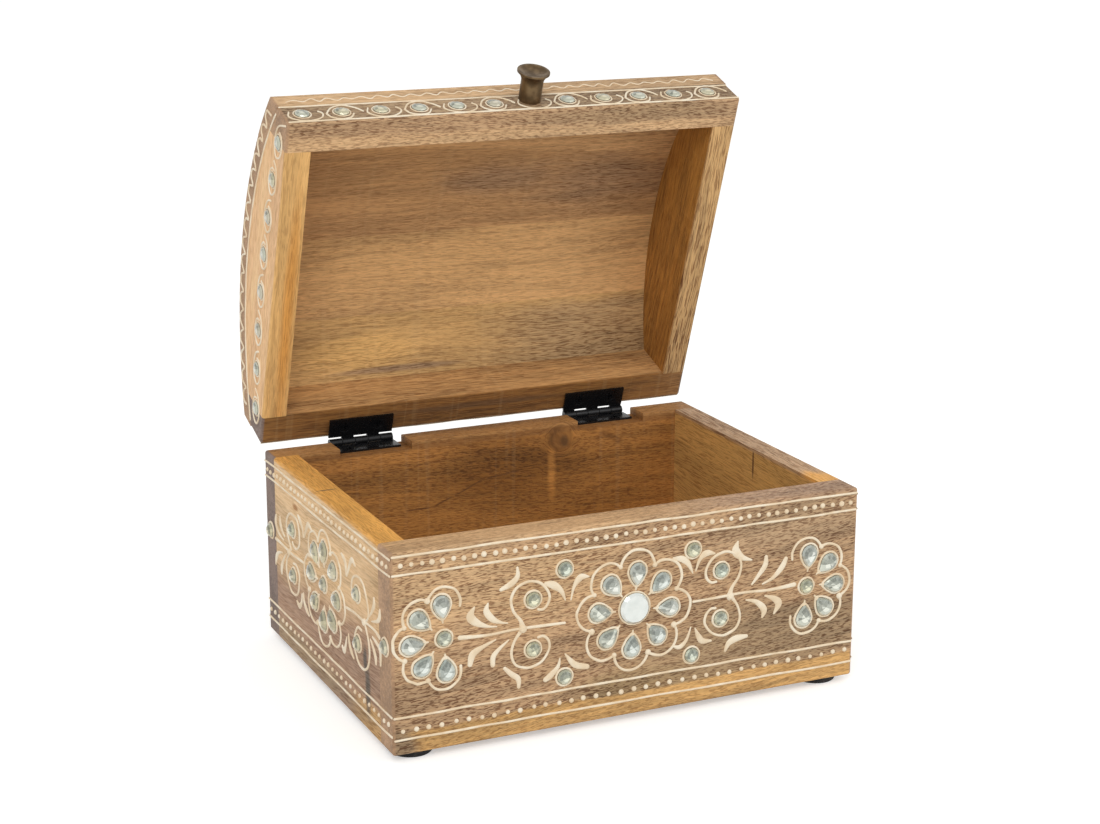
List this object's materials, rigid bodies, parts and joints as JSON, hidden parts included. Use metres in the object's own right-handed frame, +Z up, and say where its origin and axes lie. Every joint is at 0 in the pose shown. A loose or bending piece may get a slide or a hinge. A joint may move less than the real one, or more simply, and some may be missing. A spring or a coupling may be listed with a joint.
{
  "type": "jewelry box",
  "caption": "Wooden jewelry box with a domed lid that swings on butt hinges, a turned knob, rubber feet and painted flower ornament set with glass stones.",
  "frame": {"origin": "on the surface that the box stands on, under the middle of the base", "axes": "+Z up, +X to the right as seen from the front, front towards -Y, hinges at +Y"},
  "size_m": [0.2042, 0.1825, 0.2444],
  "materials": {
    "wood_front_panel": "lightly stained hardwood, satin varnish",
    "wood_back_panel": "lightly stained hardwood, satin varnish",
    "wood_left_panel": "lightly stained hardwood, satin varnish",
    "wood_right_panel": "lightly stained hardwood, satin varnish",
    "wood_bottom_board": "lightly stained hardwood, satin varnish",
    "wood_lid_front_rail": "lightly stained hardwood, satin varnish",
    "wood_lid_back_rail": "lightly stained hardwood, satin varnish",
    "wood_lid_left_end": "lightly stained hardwood, satin varnish",
    "wood_lid_right_end": "lightly stained hardwood, satin varnish",
    "wood_lid_top_board_front": "lightly stained hardwood, satin varnish",
    "wood_lid_top_board_middle": "lightly stained hardwood, satin varnish",
    "wood_lid_top_board_rear": "lightly stained hardwood, satin varnish",
    "dowel_wood": "plain beech dowel",
    "foot_rubber": "black matt rubber",
    "hinge_black": "black satin coated steel",
    "plain_steel": "zinc plated steel",
    "knob_brass": "antiqued brass",
    "stone_glass": "foil backed clear glass, bevelled",
    "mirror_disc": "small round mirror"
  },
  "bodies": {
    "base": {"base_front_panel": "wood_front_panel", "base_back_panel": "wood_back_panel", "base_left_panel": "wood_left_panel", "base_right_panel": "wood_right_panel", "base_bottom_board": "wood_bottom_board", "base_corner_dowels": "dowel_wood", "base_bottom_brads": "plain_steel", "foot_front_left": "foot_rubber", "foot_front_right": "foot_rubber", "foot_back_left": "foot_rubber", "foot_back_right": "foot_rubber", "left_hinge_base_leaf": "hinge_black", "left_hinge_pin": "hinge_black", "left_hinge_base_screws": "hinge_black", "right_hinge_base_leaf": "hinge_black", "right_hinge_pin": "hinge_black", "right_hinge_base_screws": "hinge_black", "front_petal_stones": "stone_glass", "front_round_stones": "stone_glass", "front_mirror_disc": "mirror_disc", "back_petal_stones": "stone_glass", "back_round_stones": "stone_glass", "back_mirror_disc": "mirror_disc", "left_petal_stones": "stone_glass", "left_round_stones": "stone_glass", "right_petal_stones": "stone_glass", "right_round_stones": "stone_glass"},
    "lid": {"lid_front_rail": "wood_lid_front_rail", "lid_back_rail": "wood_lid_back_rail", "lid_left_end": "wood_lid_left_end", "lid_right_end": "wood_lid_right_end", "lid_top_board_front": "wood_lid_top_board_front", "lid_top_board_middle": "wood_lid_top_board_middle", "lid_top_board_rear": "wood_lid_top_board_rear", "lid_corner_dowels": "dowel_wood", "lid_knob": "knob_brass", "lid_knob_screw": "plain_steel", "left_hinge_lid_leaf": "hinge_black", "left_hinge_lid_screws": "hinge_black", "right_hinge_lid_leaf": "hinge_black", "right_hinge_lid_screws": "hinge_black", "lid_front_stones": "stone_glass", "lid_back_stones": "stone_glass", "lid_left_stones": "stone_glass", "lid_right_stones": "stone_glass", "lid_top_petal_stones": "stone_glass", "lid_top_round_stones": "stone_glass", "lid_top_mirror_disc": "mirror_disc"}
  },
  "joints": [
    {"name": "lid_hinge", "type": "hinge", "parent": "base", "child": "lid", "pos_m": [0, 0.0782, 0.0814], "axis": [-1, 0, 0], "range_deg": [-70.5, 109.5]}
  ]
}
